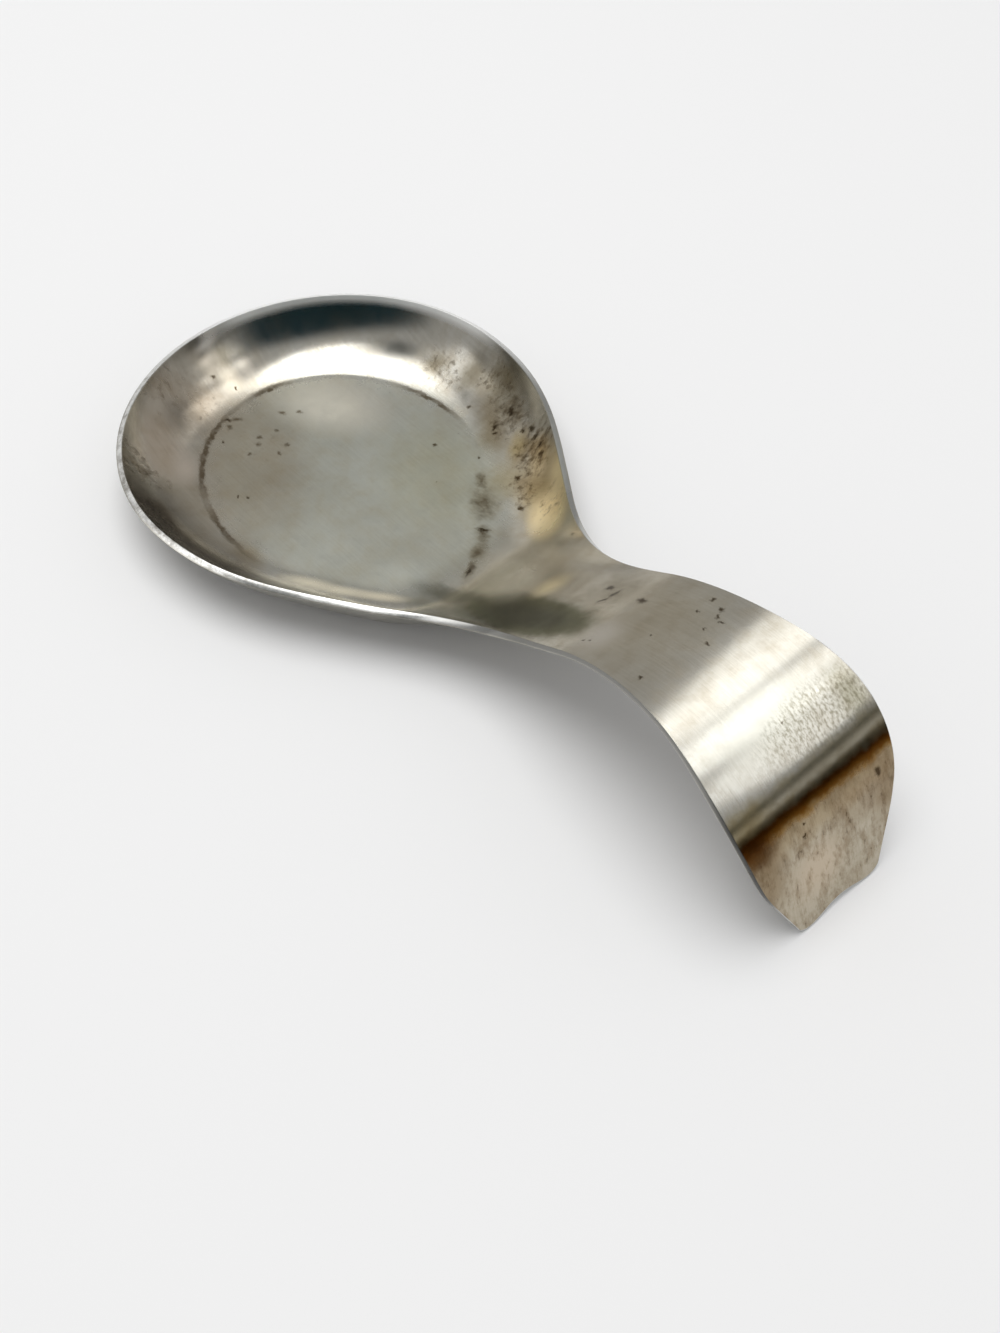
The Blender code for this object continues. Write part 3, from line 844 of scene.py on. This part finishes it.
# Painted highlight: the far rim's edge and the strip beside it are mixed toward near-white.
far_rim_highlight = patch(flat_mm, -34, 32, 48, 24, 47, 0.4)
cut_metal = add(steel, "Mix", far_rim_highlight, cut_metal, colour("#f4f4f2"), **MIX)
base = add(steel, "Mix", edge_share, base, cut_metal, **MIX)
rim_highlight_strip = add(steel, "MapRange", edge_metres, RIM_HIGHLIGHT_ENDS, RIM_HIGHLIGHT_FULL, 0.0, 1.0)
painted_rim_highlight = add(steel, "Math", rim_highlight_strip, far_rim_highlight, operation="MULTIPLY")
base = add(steel, "Mix", painted_rim_highlight, base, colour("#f4f4f2"), **MIX)
steel.links.new(base, shader.inputs["Base Color"])
print(f"{len(dull_and_shaded_edges)} dull and shaded stretches and one painted rim highlight")

# %% Roughness and bump
# Brushed steel is about 0.2 rough; each mark adds its own amount, and the bend is a little smoother.
GRAIN_BUMP, GRAIN_DEPTH = 0.06, 0.00005
dirt = add(steel, "Math", fleck_share, speck_share, operation="MAXIMUM")
dirt = add(steel, "Math", dirt, ring_share, operation="MAXIMUM")
bend = patch(flat_mm, 151, 0, 9, 40, 0, 0.6)
burnt = patch(ragged_mm, 36, 29, 22, 8, -33, 0.6)
roughness = add(steel, "MapRange", clouds, 0.3, 0.7, 0.16, 0.24)
for share, amount in ((floor_share, 0.12), (on_tail, 0.14), (painted_rim_highlight, 0.4), (dirt, 0.20),
                      (bend, -0.045), (burnt, 0.22), (dirty, 0.08)):
    roughness = add(steel, "Math", share, amount, roughness, operation="MULTIPLY_ADD")
steel.links.new(roughness, shader.inputs["Roughness"])
grain_bump = add(steel, "Bump", GRAIN_BUMP, GRAIN_DEPTH, None, grain)
steel.links.new(grain_bump, shader.inputs["Normal"])
print(f"the finish has {len(steel.nodes)} nodes")

# %% [markdown]
# ## Pressing the sheet
# So far there are only a tree and a finish; now a blank is pressed with them. The real blank's cut
# edge is broken so that it doesn't cut, and a bevel does that here. Tree and bevel could stay live,
# but a plain mesh is safer, because every tool shows it alike. The finished sheet rides
# on the CAD model's only body and stands in for its only node.

# %% Set up the press
blank = bpy.data.objects.new("blank_sheet", row_mesh)
scene_objects = bpy.context.scene.collection.objects
scene_objects.link(blank)
pressing = blank.modifiers.new("press_sheet", "NODES")
pressing.node_group = press
press_inputs["Finish"] = ("NodeSocketMaterial", steel_finish)
for name, (_, value) in press_inputs.items():
    pressing[press_ids[name]] = value

VISIBLE_ROUND = 0.00072         # worn rounder than the drawing's broken edge
EDGE_SEGMENTS = 4
EDGE_ANGLE = radians(50)
edge_break = blank.modifiers.new("broken_edge", "BEVEL")
edge_break.width = VISIBLE_ROUND
edge_break.segments = EDGE_SEGMENTS
edge_break.limit_method = "ANGLE"
edge_break.angle_limit = EDGE_ANGLE
print("steps of the pressing:", [step.name for step in blank.modifiers])

# %% Press the sheet and keep a plain mesh
depsgraph = bpy.context.evaluated_depsgraph_get()
sheet_mesh = bpy.data.meshes.new_from_object(blank.evaluated_get(depsgraph), depsgraph=depsgraph)
sheet_mesh.name = "sheet"
sheet = bpy.data.objects.new("sheet", sheet_mesh)
scene_objects.link(sheet)
bpy.data.objects.remove(blank)
bpy.data.objects.remove(side_profile)
triangles = sum(len(face.vertices) - 2 for face in sheet_mesh.polygons)
print(f"pressed sheet of {triangles} triangles,", [a.name for a in sheet_mesh.attributes])

# %% Tie the sheet to the CAD model
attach(sheet, "root")
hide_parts("pressed_sheet")
print("the sheet rides on root")

# %% [markdown]
# ## The studio
# Metal shows its surroundings more than itself, so the surroundings are part of the finish. The
# spoon rest stands on one large sheet of matt paper. A curved backdrop would do too, but seen from
# above only the floor shows, and a floor also keeps the shadow.

# %% Floor
FLOOR_HALF_SIZE = 12.0
floor_mesh = bpy.data.meshes.new("studio_floor")
SQUARE = ((-1, -1), (1, -1), (1, 1), (-1, 1))
corners = [(x * FLOOR_HALF_SIZE, y * FLOOR_HALF_SIZE, 0.0) for x, y in SQUARE]
floor_mesh.from_pydata(corners, [], [(0, 1, 2, 3)])
studio_floor = bpy.data.objects.new("studio_floor", floor_mesh)
scene_objects.link(studio_floor)
# Gives the eye an even pale ground with a soft shadow and no shine.
paper = bpy.data.materials.new("matt_white_paper")
paper.use_nodes = True
paper_shader = paper.node_tree.nodes["Principled BSDF"]
paper_shader.inputs["Base Color"].default_value = colour("#ececec")
paper_shader.inputs["Roughness"].default_value = 0.9
paper_shader.inputs["Specular IOR Level"].default_value = 0.0
floor_mesh.materials.append(paper)
print("paper floor laid")

# %% [markdown]
# ## Lamps
# Steel is lit with softboxes, lamps behind a sheet of white cloth, because a bare bulb leaves a hard
# dot in it. Area lamps are just that. A picture of a room could light the steel too, but lamps can
# be moved one by one. One large lamp overhead lights the paper. The others light the steel alone and
# draw the bright bands on the hump, the bend and the bowl.


# %% Lamps and world
def direction(azimuth, elevation):
    """Unit vector from the object, azimuth from +X towards +Y, both in degrees."""
    a, e = radians(azimuth), radians(elevation)
    return Vector((cos(a) * cos(e), sin(a) * cos(e), sin(e)))


def softbox(name, target, azimuth, elevation, distance, width, height, radiance,
            shape="RECTANGLE", lights_paper=False, shines=True):
    """An area lamp that faces the target and is about this bright in a mirror."""
    lamp = bpy.data.lights.new(name, "AREA")
    lamp.shape = shape
    lamp.size = width
    if shape == "RECTANGLE":
        lamp.size_y = height
    lamp.energy = radiance * pi * width * height
    lamp_object = bpy.data.objects.new(name, lamp)
    lamp_object.location = Vector(target) + direction(azimuth, elevation) * distance
    lamp_object.rotation_euler = direction(azimuth, elevation).to_track_quat("Z", "Y").to_euler()
    lamp_object.visible_diffuse = lights_paper
    lamp_object.visible_glossy = shines
    scene_objects.link(lamp_object)


ORIGIN = (0.0, 0.0, 0.0)
HUMP = (0.125, 0.0, 0.037)
softbox("overhead_softbox", ORIGIN, 190, 82, 1.7, 1.6, 1.6, 2.45, "DISK", lights_paper=True,
        shines=False)
softbox("overhead_shine", ORIGIN, 190, 82, 1.6, 1.36, 1.36, 2.45, "DISK")
softbox("crest_softbox", HUMP, 115, 51, 0.45, 0.18, 0.208, 1.5)
softbox("hump_softbox", HUMP, 67, 54, 0.45, 0.16, 0.19, 1.5)
softbox("bend_softbox", HUMP, 45, 38, 0.45, 0.16, 0.18, 1.15)
softbox("far_glow", (-0.03, 0.0, 0.0), 80, 63, 1.2, 0.7, 0.7, 0.35, "DISK")
softbox("back_softbox", (0.03, 0.0, 0.0), 180, 26, 1.2, 0.9, 0.8, 0.3)
softbox("right_softbox", (-0.01, 0.04, 0.0), 230, 42, 1.2, 0.5, 0.7, 1.15)

world = bpy.data.worlds.new("grey_room")
world.use_nodes = True
world.node_tree.nodes["Background"].inputs["Color"].default_value = colour("#bcbcbc")
bpy.context.scene.world = world
bpy.context.scene.view_settings.view_transform = "Standard"
print("studio is lit")

# %% [markdown]
# ## Dark cards
# Steel that mirrors only bright things looks flat, so a studio has dark cards as well as lamps. A
# plain dark plane could do it, but its straight border would show as a line in the metal. So each
# card fades away towards its border, and only reflections see it.


# %% Dark cards
def dark_card(name, target, azimuth, elevation, distance, width, height, code, fade_from,
              roll=0.0):
    """A dark card that only reflections see; from some share of its size on it fades away."""
    mesh = bpy.data.meshes.new(name)
    w, h = width / 2, height / 2
    mesh.from_pydata([(x * w, y * h, 0) for x, y in SQUARE], [], [(0, 1, 2, 3)])
    card = bpy.data.objects.new(name, mesh)
    card.location = Vector(target) + direction(azimuth, elevation) * distance
    facing = direction(azimuth, elevation).to_track_quat("Z", "Y")
    card.rotation_euler = (facing @ Quaternion((0, 0, 1), radians(roll))).to_euler()
    # Gives the eye nothing but a soft dark band in the steel.
    card_finish = bpy.data.materials.new("matt_dark_card")
    card_finish.use_nodes = True
    tree = card_finish.node_tree
    on_card = add(tree, "TexCoord").node.outputs["Object"]
    on_card = add(tree, "VectorMath", on_card, (1 / w, 1 / h, 0.0), operation="MULTIPLY")
    squares = add(tree, "VectorMath", on_card, on_card, operation="MULTIPLY")
    reach = add(tree, "VectorMath", squares, operation="LENGTH")
    reach = add(tree, "Math", reach, operation="SQRT")
    dense = add(tree, "MapRange", reach, 1.0, fade_from, 0.0, 1.0, interpolation_type="SMOOTHSTEP")
    card_shader = tree.nodes["Principled BSDF"]
    card_shader.inputs["Base Color"].default_value = colour(code)
    tree.links.new(dense, card_shader.inputs["Alpha"])
    card_shader.inputs["Roughness"].default_value = 1.0
    card_shader.inputs["Specular IOR Level"].default_value = 0.0
    mesh.materials.append(card_finish)
    card.visible_camera = False
    card.visible_diffuse = False
    card.visible_shadow = False
    scene_objects.link(card)


BOWL = (-0.03, 0.03, 0.0)
TAIL = (0.145, 0.0, 0.03)
dark_card("camera_side_card", BOWL, 322, 26, 0.9, 2.50, 1.38, "#1e373f", 0.52, roll=12)
dark_card("upper_side_card", BOWL, 258, 64, 0.9, 0.42, 0.46, "#525655", 0.35)
dark_card("upper_tail_card", TAIL, 33, 20.5, 0.9, 0.7, 0.085, "#5c5c58", 0.7)
dark_card("lower_tail_card", TAIL, 31, 7, 0.9, 0.7, 0.19, "#30302e", 0.8)
print("dark cards are up")

# %% [markdown]
# ## Camera
# The camera stands where the photograph was taken from, high on the near side, looking down into the
# bowl. It could be set by eye. Here its place and lens were solved from the outline, which is taken
# as mirror-symmetric, so that the render can be laid over the photograph.

# %% Camera
LENS_MM = 43.31
SENSOR_MM = 36.0
CAMERA_TARGET = Vector((0.06724, -0.01079, 0.0))
CAMERA_AZIMUTH = -41.846
CAMERA_ELEVATION = 51.237
CAMERA_DISTANCE = 0.35153
CAMERA_ROLL = radians(0.296)
CLIP_START = 0.01
camera_data = bpy.data.cameras.new("camera")
camera_data.lens = LENS_MM
camera_data.sensor_width = SENSOR_MM
camera_data.clip_start = CLIP_START
camera = bpy.data.objects.new("camera", camera_data)
towards_camera = direction(CAMERA_AZIMUTH, CAMERA_ELEVATION)
camera.location = CAMERA_TARGET + towards_camera * CAMERA_DISTANCE
camera.rotation_mode = "QUATERNION"
facing_camera = towards_camera.to_track_quat("Z", "Y")
camera.rotation_quaternion = facing_camera @ Quaternion((0, 0, 1), CAMERA_ROLL)
scene_objects.link(camera)
bpy.context.scene.camera = camera
print(f"a {LENS_MM} mm lens from {1000 * CAMERA_DISTANCE:.0f} mm away")
